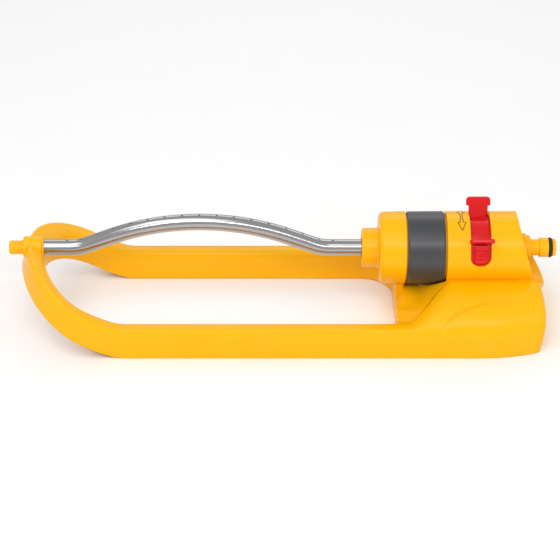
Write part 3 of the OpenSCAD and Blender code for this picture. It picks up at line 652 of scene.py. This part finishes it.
# ---- drum ----
@dataclass
class Drum:
    """Front cap with collar, control ring and rear housing: three shells in line on the swing axis."""

    wall: float = 2.6
    collar_radius: float = 16.5
    collar_length: float = 14.0
    hub_radius: float = 10.06
    end_slope: float = 0.29
    housing_length: float = 59.7
    slot_width: float = 17.0
    slot_reach: float = 94.0
    edge: float = 0.5

    def __post_init__(self) -> None:
        """Takes the drum's radius and stations from the CAD boxes."""
        self.r = GROUND.radius
        self.house_x = GROUND.house_x
        self.slot_x = GROUND.slot_x
        self.top_x = self.house_x + self.housing_length

    def cap(self) -> Object:
        """Collar and cap as one turned profile, with a rounded shoulder on each."""
        x0, x1 = GROUND.cap_x
        step, r, w = x0 + self.collar_length, self.r, self.wall
        profile = rounded([
            (x0, self.hub_radius, 0.4), (x0, self.collar_radius, 2.2), (step, self.collar_radius + 0.3, 1.6),
            (step + 0.5, r - 0.6, 5.0), (x1, r, 0.5), (x1, r - 3.1, 0), (x1 + 3, r - 3.1, 0.3), (x1 + 3, r - 5.5, 0.3),
            (x1 - 2.3, r - 5.5, 0), (x1 - 2.3, r - w, 0), (step + w, r - w, 0), (step + w, self.hub_radius, 0)], 8)
        return piece(YELLOW, "front_cap_shell", [lathe(profile, 192)])

    def ring(self) -> Object:
        """The control ring: slightly conical, its rims rounded, with a shallow step at each side."""
        x0, x1 = GROUND.ring_x
        r = self.r
        profile = rounded([
            (x0, r - 3, 0.2), (x0, r - 0.9, 0.5), (x0 + 0.9, r - 0.5, 0.4), (x0 + 1.4, r - 0.28, 0.5),
            (x1 - 1.4, r, 0.5), (x1 - 0.9, r - 0.2, 0.4), (x1, r - 0.6, 0.5), (x1, r - 3, 0.2)])
        return piece(GREY, "control_ring_grip", [lathe(profile, 192)])

    def slot_curve(self, grow: float, count: int = 36) -> tuple[Array, Array]:
        """The right-hand half of the slot's outline, from one tip round to the other.

        The slot is a stadium in x and arc length s = radius * angle: straight sides with half circles at the ends.

        Args:
            grow: how far outside the slot's wall the curve lies, in millimetres.
            count: points per quarter circle.

        Returns:
            Half widths and angles (radians from straight up), both from the rear tip to the front tip.
        """
        half = self.slot_width / 2
        centre = math.radians(self.slot_reach) - half / self.r
        q = np.linspace(0, math.pi / 2, count)
        tip_w, tip_s = (half + grow) * np.sin(q), (half + grow) / self.r * np.cos(q)
        straight = np.linspace(-centre, centre, 70)[1:-1]
        width = np.concatenate([tip_w, np.full(len(straight), half + grow), tip_w[::-1]])
        angle = np.concatenate([-centre - tip_s, straight, centre + tip_s[::-1]])
        return width, angle

    def end_at(self, r: Array | float, angle: Array) -> Array:
        """X of the sloping end face at radius r and angle."""
        return self.top_x + self.end_slope * (self.r - r * np.cos(angle))

    def skin(self, r: float, grow: float, inset: float) -> list[Patch]:
        """A cylinder skin of radius r from the front rim to the end face, with the slot left open.

        Two strips lie in front of and behind the slot over its arc; a third joins them beyond the slot's tips.
        inset moves both ends inwards.
        """
        width, angle = self.slot_curve(grow)
        rest = np.linspace(angle[-1], angle[0] + 2 * math.pi, 120)
        x0, end = self.house_x + inset, lambda a: self.end_at(r, a) - inset * 1.05
        t = np.linspace(0, 1, 12)[None, :]

        def strip(a: Array, low: Array, high: Array) -> Array:
            return around(mix(low[:, None], high[:, None], t), r, a[:, None])

        front = strip(angle, np.full(len(angle), x0), self.slot_x - width)
        back = strip(angle, self.slot_x + width, end(angle))
        near = strip(rest, np.full(len(rest), x0), np.full(len(rest), self.slot_x))
        far = strip(rest, np.full(len(rest), self.slot_x), end(rest))
        return [Patch(p) for p in (front, back, near, far)]

    def slot_wall(self, inner: float) -> list[Patch]:
        """The slot's wall with a quarter-round lip of radius `edge`, carried round the slot's outline."""
        grows, radii = self.edge * (1 - np.sin(QUARTER)), self.r - self.edge * (1 - np.cos(QUARTER))
        out = []
        for side in (1, -1):
            rows = []
            for grow, radius in [*zip(grows, radii), (0.0, inner)]:
                width, angle = self.slot_curve(float(grow))
                rows.append(around(self.slot_x + side * width, radius, angle))
            out.append(Patch(np.stack(rows, 0)))
        return out

    def housing(self) -> Object:
        """The rear housing: slotted skin, inner skin, front rim, rounded sloping end and the boss round the inlet."""
        soft, inner = 2.2 * 0.28, self.r - self.wall
        patches = self.skin(self.r, self.edge, 0.6)
        patches += self.skin(inner, 0.0, 0.0)
        patches += self.slot_wall(inner)
        slot = self.slot_curve(self.edge)[1]
        angle = np.concatenate([slot, np.linspace(slot[-1], slot[0] + 2 * math.pi, 120)[1:-1]])
        x0, r = self.house_x, self.r
        # front rim: a small quarter round, then down to the spigot
        rim = [around(x0 + 0.6 * (1 - np.sin(t)), r - 0.6 * (1 - np.cos(t)), angle) for t in QUARTER]
        spigot = ((x0, r - 3.1), (x0 - 2.9, r - 3.1), (x0 - 2.9, r - 5.5), (x0, r - 5.5), (x0, inner))
        rim += [around(np.full(len(angle), x), radius, angle) for x, radius in spigot]
        patches.append(Patch(np.stack(rim, 0), False, True))
        # sloping end: round over the edge, then a shallow dish down to the inlet recess
        rows = [
            around(self.end_at(r, angle) - 0.63 + 0.63 * np.sin(t), r - soft * (1 - np.cos(t)), angle)
            for t in QUARTER]
        for k in np.linspace(0, 1, 14)[1:]:
            radius = mix(r - soft, 11.4, k)
            rows.append(around(self.end_at(radius, angle) - 1.1 * math.sin(math.pi * k), radius, angle))
        patches.append(Patch(np.stack(rows, 0), False, True))
        return piece(YELLOW, "rear_housing_shell", patches, weld=0.02, sharp=45)

    def inlet_boss(self) -> Object:
        """The short round collar on the housing's end that the nipple's flange sits in."""
        x = GROUND.nose_x - 27
        profile = rounded([
            (x - 8, 8.1, 0), (x, 8.1, 0), (x, 10.8, 0), (x + 1.6, 10.8, 0.3), (x + 1.6, 12, 0.8), (x - 8, 12, 0)])
        return piece(YELLOW, "inlet_boss_collar", [lathe(profile, 96)])

    def arrow(self) -> Object:
        """The double arrow engraved beside the slot, drawn as a fine line that follows the drum.

        The line is a flat ribbon 0.84 mm wide carried along the arrow's outline in x and arc length. Its dark amber
        colour is painted shade, in place of the shade inside the engraved groove.
        """
        x, top = self.house_x + 12.4, math.radians(5) * self.r
        head, shaft, length = 3.4, 1.45, 31.8
        half = [(0, length / 2), (head, length / 2 - 8.7), (shaft, length / 2 - 8.7), (0.6, 0.0)]
        outline = half + [(a, -b) for a, b in half[-2::-1]]
        outline += [(-a, b) for a, b in outline[-2:0:-1]]
        path = rounded([(a, b, 0.25) for a, b in outline], 4)
        t = np.linspace(0, 1, 6)[:-1, None]
        path = np.concatenate([mix(a, b, t) for a, b in zip(path, np.roll(path, -1, 0))])
        tangent = np.roll(path, -1, 0) - np.roll(path, 1, 0)
        tangent /= np.linalg.norm(tangent, axis=1, keepdims=True)
        side = np.stack([tangent[:, 1], -tangent[:, 0]], -1)
        rows = []
        for off, lift in ((-0.42, -0.3), (-0.42, 0.04), (0.42, 0.04), (0.42, -0.3)):
            p = path + side * off
            rows.append(around(x + p[:, 0], self.r + lift, (top - p[:, 1]) / self.r))
        # painted shade: the dark amber ribbon stands in for the shade in the engraved groove
        return piece(GROOVE_SHADE_PAINTED, "direction_arrow", [Patch(np.stack(rows, 0), True, True)], weld=0.001)


# ---- stops and tube ----
def outward(outline: Array) -> Array:
    """Unit normals of a closed outline, pointing out of it."""
    edge = np.roll(outline, -1, 0) - np.roll(outline, 1, 0)
    edge /= np.linalg.norm(edge, axis=1, keepdims=True) + 1e-12
    x, y = outline[:, 0], outline[:, 1]
    area = float(np.sum(x * np.roll(y, -1) - np.roll(x, -1) * y))
    return np.stack([edge[:, 1], -edge[:, 0]], -1) * math.copysign(1.0, area)


def plate(outline: Array, low: float, high: float, edge: float) -> list[Patch]:
    """A flat plate across Y with both rims rounded by a quarter circle of radius `edge`.

    The outline, in (x, height above the axis), is mirror symmetric and starts at the bottom of its left half, so
    each face is closed by strips from the left half to the right half.
    """
    inset, rise = edge * (1 - np.sin(QUARTER)), edge * (1 - np.cos(QUARTER))
    levels = [(i, low + r) for i, r in zip(inset, rise)]
    levels += [(i, high - r) for i, r in zip(inset[::-1], rise[::-1])]
    normal = outward(outline)

    def at(pts: Array, y: float) -> Array:
        return np.stack([pts[:, 0], np.full(len(pts), y), GROUND.axis + pts[:, 1]], -1)

    wall = Patch(np.stack([at(outline - normal * i, y) for i, y in levels], 0), False, True)
    n = len(outline) // 2
    inner = outline - normal * edge
    t = np.linspace(0, 1, 7)[None, :, None]
    caps = [Patch(mix(at(inner[:n], y)[:, None], at(inner[n:][::-1], y)[:, None], t)) for y in (low, high)]
    return [wall, *caps]


def sector(profile: Array, start: float, stop: float, count: int = 60) -> list[Patch]:
    """A closed (x, radius) profile swept about the swing axis from start to stop degrees, with both ends closed.

    The profile must be convex and hold an even number of points.
    """
    a = np.radians(np.linspace(start, stop, count))
    body = Patch(around(profile[None, :, 0], profile[None, :, 1], a[:, None]), False, True)
    n = len(profile) // 2
    ends = []
    for angle in (a[0], a[-1]):
        ring = around(profile[:, 0], profile[:, 1], angle)
        ends.append(Patch(np.stack([ring[:n], ring[n:][::-1]], 0)))
    return [body, *ends]


@dataclass
class SweepStop:
    """One of the two red sliders that limit the bar's swing: a bent band, a ribbed thumb pad and a T-shaped tab."""

    name: str
    angle: float
    side: int
    layer: float
    band: tuple[float, float]
    band_x: tuple[float, float]
    finger_x: tuple[float, float]
    neck: float = 16.2
    head: float = 20.6
    step: float = 36.0
    top: float = 43.5
    thickness: float = 3.2
    pad_half: float = 5.3
    pad_mid: float = 18.5
    finger_low: float = 21.2

    def pad(self) -> list[Patch]:
        """The thumb pad: a low loaf that follows the drum with three round ribs across it.

        Height at arc position t: base + 0.8 mm * cos-shaped ribs every 8 degrees, eased to the band at both ends.
        """
        phi = np.linspace(4, 33, 146)[:, None]
        ribs = [np.cos(np.clip((phi - centre) / 2.6, -1, 1) * math.pi / 2) for centre in (15.5, 23.5, 30.8)]
        rib = sum(np.maximum(0, one) for one in ribs)
        ends = np.sqrt(np.clip(1 - np.clip(np.abs(phi - self.pad_mid) - 13.3, 0, 1.2) ** 2 / 1.44, 0, 1))
        base = self.layer - 0.2
        top = self.layer + (GROUND.radius + 0.5 + 0.8 * rib - self.layer) * ends
        half, e = self.pad_half, 0.7
        into, fall = e * (1 - np.cos(QUARTER)), e * (1 - np.sin(QUARTER))
        xs = np.concatenate([[-half], -half + into, np.linspace(-3.6, 3.6, 7), half - into[::-1], [half]])[None, :]
        fall = np.concatenate([[9.0], fall, np.zeros(7), fall[::-1], [9.0]])[None, :]
        r = np.maximum(top - fall, base)
        angle = np.radians(self.angle + self.side * phi)
        upper = around(GROUND.slot_x + xs, r, angle)
        lower = around(GROUND.slot_x + xs, np.full_like(r, base), angle)
        return [Patch(np.concatenate([upper, lower[:, ::-1]], 1), False, True)]

    def tab(self) -> list[Patch]:
        """The T: neck through the slot and wider head, standing straight up before it is turned to its angle."""
        low, n, h = self.layer - 0.8, self.neck / 2, self.head / 2
        left = [(-n, low, 0.3), (-n, self.step, 0.9), (-h, self.step, 1.4), (-h, self.top, 3.6)]
        right = [(-x, y, radius) for x, y, radius in left[::-1]]
        outline = rounded(left + right) + np.array([GROUND.slot_x, 0.0])
        return turned(plate(outline, -self.thickness / 2, self.thickness / 2, 0.75), self.angle)

    def bar(self, span: tuple[float, float], low: float, high: float, foot: float, crown: float) -> Array:
        """A rectangle over span (x from the slot's middle) with its lower and upper corners rounded."""
        x0, x1 = GROUND.slot_x + span[0], GROUND.slot_x + span[1]
        return rounded([(x0, low, foot), (x0, high, crown), (x1, high, crown), (x1, low, foot)], 4)

    def build(self) -> Object:
        """The whole slider as one object."""
        band = self.bar(self.band_x, self.layer - 1.2, self.layer, 0.25, 0.25)
        finger = self.bar(self.finger_x, self.finger_low, self.layer - 0.5, 0.3, 0)
        mid = self.angle + self.side * self.pad_mid
        parts = sector(band, *self.band) + self.pad() + self.tab() + sector(finger, mid - 3.2, mid + 3.2, 6)
        return piece(RED, self.name, parts, weld=0.005, sharp=40)


@dataclass
class SprayTube:
    """The arched aluminium tube with its row of drilled jets."""

    diameter: float = 14.0
    wall: float = 1.0
    rise: float = 25.8
    radius: float = 200.0
    bend: float = 40.0
    slope: float = 22.0
    from_plug: float = 162.0
    jets: int = 17
    pitch: float = 14.1
    jet: float = 1.5
    tilt: float = 5.0
    sides: int = 72
    steps: int = 8
    reach: float = 2.4
    broken_edge: float = 0.12

    def __post_init__(self) -> None:
        """Works out the arch: a wide arc, a straight slope and a tighter bend back to level on each side."""
        a = math.radians(self.slope)
        straight = (self.rise - (self.radius + self.bend) * (1 - math.cos(a))) / math.tan(a)
        self.u1 = self.radius * math.sin(a)
        self.u2 = self.u1 + straight
        self.u3 = self.u2 + self.bend * math.sin(a)
        self.middle = GROUND.low[0] + self.from_plug
        box = GROUND.box("spray_tube")
        self.ends = (box[0][0] - self.middle, box[1][0] - self.middle)
        self.jets_at = (np.arange(self.jets) - (self.jets - 1) / 2) * self.pitch
        # a square outline, `steps` points a side, and the angle of each point
        side, one = np.linspace(-1, 1, self.steps + 1)[:-1], np.ones(self.steps)
        edges = ((side, -one), (one, side), (-side, one), (-one, -side))
        self.square = np.concatenate([np.stack(edge, -1) for edge in edges])
        self.angle = np.arctan2(self.square[:, 1], self.square[:, 0])

    def line(self, u: Array) -> tuple[Array, Array]:
        """Height and slope angle of the centre line at distance u from the arch's middle."""
        a, v = math.radians(self.slope), np.abs(u)
        w1, w3 = np.clip(v / self.radius, 0, 0.999), np.clip((self.u3 - v) / self.bend, 0, 0.999)
        drop = self.rise - self.radius * (1 - math.cos(a))
        zones = [v < self.u1, v < self.u2, v < self.u3]
        arch, ramp = self.rise - self.radius * (1 - np.sqrt(1 - w1**2)), drop - (v - self.u1) * math.tan(a)
        z = np.select(zones, [arch, ramp, self.bend * (1 - np.sqrt(1 - w3**2))], 0.0)
        s = np.select(zones, [np.arcsin(w1), np.full_like(v, a), np.arcsin(w3)], 0.0)
        return z, -np.sign(u) * s

    def on(self, u: Array, turn: Array, r: float) -> Array:
        """Points on the tube of radius r at distance u along the arch, turn radians from its top."""
        u, turn = np.broadcast_arrays(u, turn)
        z, s = self.line(u)
        lift = r * np.cos(turn)
        return np.stack([self.middle + u - np.sin(s) * lift, r * np.sin(turn), GROUND.axis + z + np.cos(s) * lift], -1)

    def skin(self, r: float, hole: float) -> list[Patch]:
        """The tube's surface at radius r with the jets left open.

        Round each jet the surface is a square ring that blends from a circle of radius `hole` to the grid, so the
        long grid lines meet it point for point.
        """
        m, reach = self.steps, self.reach
        lid = reach / r
        # along the tube, gaps between jets and the jets' squares take turns
        around_jets = np.stack([self.jets_at - reach, self.jets_at + reach], -1).ravel()
        cuts = np.concatenate([[self.ends[0]], around_jets, [self.ends[1]]])
        counts = [60, *[m + 1, 9] * (self.jets - 1), m + 1, 60]
        spans = [np.linspace(a, b, n) for a, b, n in zip(cuts, cuts[1:], counts)]
        u = np.concatenate([*[span[:-1] for span in spans], [self.ends[1]]])
        out = [Patch(self.on(u[:, None], np.linspace(lid, 2 * math.pi - lid, self.sides)[None, :], r))]
        across = np.linspace(-lid, lid, m + 1)[None, :]
        out += [Patch(self.on(span[:, None], across, r)) for span in spans[::2]]
        circle = np.stack([np.cos(self.angle), np.sin(self.angle)], -1) * hole
        blend = np.array([0, 0.12, 0.35, 0.65, 1.0])[:, None, None]
        p = mix(circle[None], self.square[None] * reach, blend)
        out += [Patch(self.on(c + p[..., 0], p[..., 1] / r, r), False, True) for c in self.jets_at]
        return out

    def build(self) -> Object:
        """Outer skin, bore, drilled jets with a broken edge, and the two cut ends."""
        r, b = self.diameter / 2, self.diameter / 2 - self.wall
        hole, e = self.jet / 2, self.broken_edge
        parts = self.skin(r, hole + e) + self.skin(b, hole)
        cos, sin = np.cos(self.angle), np.sin(self.angle)
        for c in self.jets_at:
            rows = [self.on(c + q * cos, q * sin / s, s) for q, s in ((hole + e, r), (hole, r - e), (hole, b))]
            parts.append(Patch(np.stack(rows, 0), False, True))
        # each end is a ring in two arcs, so that it meets the skins' points: round the back, and over the jets' strip
        lids = [self.reach / radius for radius in (r, b)]
        for end in self.ends:
            back, strip = [(lid, 2 * math.pi - lid) for lid in lids], [(-lid, lid) for lid in lids]
            for n, arcs in ((self.sides, back), (self.steps + 1, strip)):
                edges = [self.on(np.full(n, end), np.linspace(*arc, n), radius) for arc, radius in zip(arcs, (r, b))]
                parts.append(Patch(np.stack(edges, 0)))
        return piece(ALUMINIUM, "spray_tube_drawn", turned(parts, self.tilt), weld=0.004, sharp=45)


# ---- nipple, plug, rest ----
@dataclass
class EndPieces:
    """The hose nipple, its O-ring, the tube's end plug and the bush round the tube's end."""

    seal_section: float = 1.55

    def nipple(self) -> Object:
        """Flange, waist, barrel, groove for the ring and tapered lead-in, bored through."""
        e, f = GROUND.nose_x, GROUND.nose_x - 27
        profile = rounded([
            (f - 46, 6.2, 0), (f - 46, 8.0, 0.3), (f, 8.0, 0), (f, 10.35, 0.2), (f + 5, 10.35, 0.7),
            (f + 5.2, 6.85, 0.5), (e - 14.2, 6.85, 0.7), (e - 14.0, 8.25, 0.6), (e - 6.4, 8.25, 0.3),
            (e - 6.4, 5.9, 0.2), (e - 3.0, 5.9, 0.2), (e - 3.0, 7.7, 0.25), (e, 7.0, 0.5), (e, 4.9, 0.5),
            (e - 1.2, 4.4, 0.4), (f + 2, 4.4, 0.4), (f - 3, 6.2, 0.3)], 6)
        return piece(YELLOW, "hose_nipple", [lathe(profile, 128)], sharp=34)

    def seal(self) -> Object:
        """The nipple's O-ring."""
        box = GROUND.box("nipple_oring")
        x, top = (box[0][0] + box[1][0]) / 2, (box[1][2] - box[0][2]) / 2
        t = np.linspace(0, 2 * math.pi, 32, endpoint=False)
        section = self.seal_section
        ring = np.stack([x + section * np.cos(t), top - section + section * np.sin(t)], -1)
        return piece(RUBBER, "nipple_seal_ring", [lathe(ring, 128)])

    def plug(self) -> Object:
        """The end plug: a softly domed nub with a grip groove, and the stem inside the tube."""
        lo, hi = GROUND.box("end_plug")
        tip, shoulder, stem = lo[0], GROUND.box("left_bush")[0][0] - 2.6, hi[0]
        seat = GROUND.box("plug_oring")
        mid = (seat[0][0] + seat[1][0]) / 2
        profile = rounded([
            (tip + 0.6, 0.001, 0), (tip + 0.25, 3.4, 0), (tip, 4.4, 0.6), (tip, 5.5, 1.0), (tip + 1.5, 5.85, 0.6),
            (shoulder - 3.6, 6.0, 0.2), (shoulder - 3.3, 5.7, 0.2), (shoulder - 2.7, 5.7, 0.2),
            (shoulder - 2.4, 6.05, 0.2), (shoulder + 0.6, 6.1, 0.3), (shoulder + 0.6, 5.9, 0), (mid - 1, 5.9, 0),
            (mid - 1, 4.7, 0), (mid + 1, 4.7, 0), (mid + 1, 5.9, 0), (stem, 5.9, 0.6), (stem, 0.001, 0)], 6)
        return piece(YELLOW, "tube_end_plug", [Patch(lathe(profile, 96).points, False, True)], weld=0.004)

    def tube_bush(self) -> Object:
        """The thin bush between the tube and the raised end, with a small flange towards the arch."""
        lo, hi = GROUND.box("left_bush")
        bore, flange = 7.06, (hi[2] - lo[2]) / 2
        profile = rounded([
            (lo[0], bore, 0.2), (lo[0], flange - 0.85, 0.2), (hi[0] - 1.5, flange - 0.85, 0),
            (hi[0] - 1.5, flange, 0.3), (hi[0], flange, 0.6), (hi[0], bore, 0.4)], 5)
        return piece(YELLOW, "tube_end_bush", [lathe(profile, 96)])


@dataclass
class Mechanism:
    """The drive inside the drum, kept as modelled in CAD and given real finishes slot by slot."""

    finishes: dict[str, Finish] = field(
        default_factory=lambda: {
            "yellow_plastic": YELLOW, "aluminium_tube": ALUMINIUM, "dark_plastic": DARK, "grey_ring_plastic": GREY,
            "red_plastic": RED, "white_acetal": ACETAL, "blue_acetal": BLUE, "black_rubber": RUBBER, "steel": STEEL}
    )

    def dress(self) -> None:
        """Puts the finishes on every CAD slot, so no piece keeps a plain viewing colour."""
        slots = {part["node"]: part["material_slot"] for part in frame["record"]["subparts"]}
        for name, obj in frame["nodes"].items():
            finish = self.finishes[slots[name]]
            for k in range(len(obj.material_slots)):
                obj.material_slots[k].material = finish.material()
            LOG.info("node %s: %s", name, finish.name)


# ---- studio ----
@dataclass
class Studio:
    """Pale floor, soft lights and the camera."""

    lens: float = 112.5
    distance: float = 1505.0
    elevation: float = 30.0
    target: tuple[float, float, float] = (-2.15, 0.0, 32.4)

    def lamp(
        self, name: str, place: tuple[float, float, float], aim: tuple[float, float, float],
        size: tuple[float, float], power: float
    ) -> None:
        """Adds a rectangular area light; all lengths in metres."""
        data = bpy.data.lights.new(name, "AREA")
        data.shape, data.size, data.size_y, data.energy = "RECTANGLE", size[0], size[1], power
        obj = bpy.data.objects.new(name, data)
        bpy.context.scene.collection.objects.link(obj)
        obj.location = place
        obj.rotation_euler = (Vector(aim) - Vector(place)).to_track_quat("-Z", "Y").to_euler()

    def build(self) -> None:
        """Floor, lights, world and camera."""
        n = 2600.0
        corners = np.array([[[-n, -n, 0], [-n, n, 0]], [[n, -n, 0], [n, n, 0]]])
        floor = Builder.add("studio_floor", [Patch(corners)], fix=False)
        BOARD.dress(floor)
        self.lamp("key_softbox", (-0.35, -0.55, 1.25), (0, 0, 0.03), (1.1, 0.7), 4.4)
        self.lamp("strip_softbox", (0.0, -1.13, 0.98), (0, 0, 0.06), (1.6, 0.12), 6.0)
        self.lamp("fill_softbox", (1.1, -0.75, 0.7), (0.05, 0, 0.03), (0.9, 0.9), 1.6)
        self.lamp("back_softbox", (0.1, 1.15, 1.0), (0, 0, 0.04), (1.6, 0.5), 3.2)
        world = bpy.data.worlds.new("studio_air")
        world.use_nodes = True
        world.node_tree.nodes["Background"].inputs["Color"].default_value = (1.0, 1.0, 1.0, 1.0)
        world.node_tree.nodes["Background"].inputs["Strength"].default_value = 0.64
        bpy.context.scene.world = world
        # plain display of colours, so that the saturated plastic keeps its hue in bright light
        bpy.context.scene.view_settings.view_transform = "Standard"
        camera = bpy.data.cameras.new("camera")
        camera.lens, camera.sensor_width, camera.clip_end = self.lens, 36.0, 20.0
        obj = bpy.data.objects.new("camera", camera)
        bpy.context.scene.collection.objects.link(obj)
        e, target = math.radians(self.elevation), Vector(self.target) * MM
        obj.location = target + Vector((0, -math.cos(e), math.sin(e))) * self.distance * MM
        obj.rotation_euler = (target - obj.location).to_track_quat("-Z", "Y").to_euler()
        bpy.context.scene.camera = obj


def place(obj: Object, body: str, slot: str, *nodes: str) -> None:
    """Hands a finished piece to a body, and hides the CAD nodes it stands for."""
    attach(obj, body)
    if nodes:
        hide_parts(*nodes)
    LOG.info("%s rides %s: %d faces", obj.name, body, len(obj.data.polygons))


def main() -> None:
    """Builds every piece, the studio and the camera."""
    logging.basicConfig(level=logging.INFO, format="%(name)s %(message)s")
    Mechanism().dress()
    body, drum, ends = GroundFrame(), Drum(), EndPieces()
    place(body.build(), "base", "yellow_plastic", "frame")
    place(body.boss(), "base", "yellow_plastic")
    place(body.lobe(), "base", "yellow_plastic")
    place(body.pedestal(), "base", "yellow_plastic")
    place(drum.cap(), "base", "yellow_plastic", "front_cap")
    place(drum.housing(), "base", "yellow_plastic", "housing")
    place(drum.inlet_boss(), "base", "yellow_plastic")
    place(drum.arrow(), "base", "yellow_plastic")
    place(drum.ring(), "ring", "grey_ring_plastic", "control_ring")
    place(ends.nipple(), "base", "yellow_plastic", "inlet_nipple")
    place(ends.seal(), "base", "black_rubber", "nipple_oring")
    place(ends.tube_bush(), "base", "yellow_plastic", "left_bush")
    place(ends.plug(), "plug", "yellow_plastic", "end_plug")
    place(SprayTube().build(), "spray_bar", "aluminium_tube", "spray_tube")
    front = SweepStop("front_sweep_stop", 54.0, 1, 28.3, (42.0, 97.0), (-10.5, 12.0), (9.4, 12.0))
    rear = SweepStop("rear_sweep_stop", -20.0, -1, 26.8, (-64.0, 60.0), (-9.0, 9.0), (6.0, 8.8))
    place(front.build(), "stop_front", "red_plastic", "front_stop")
    place(rear.build(), "stop_rear", "red_plastic", "rear_stop")
    Studio().build()


if __name__ == "__main__":
    main()
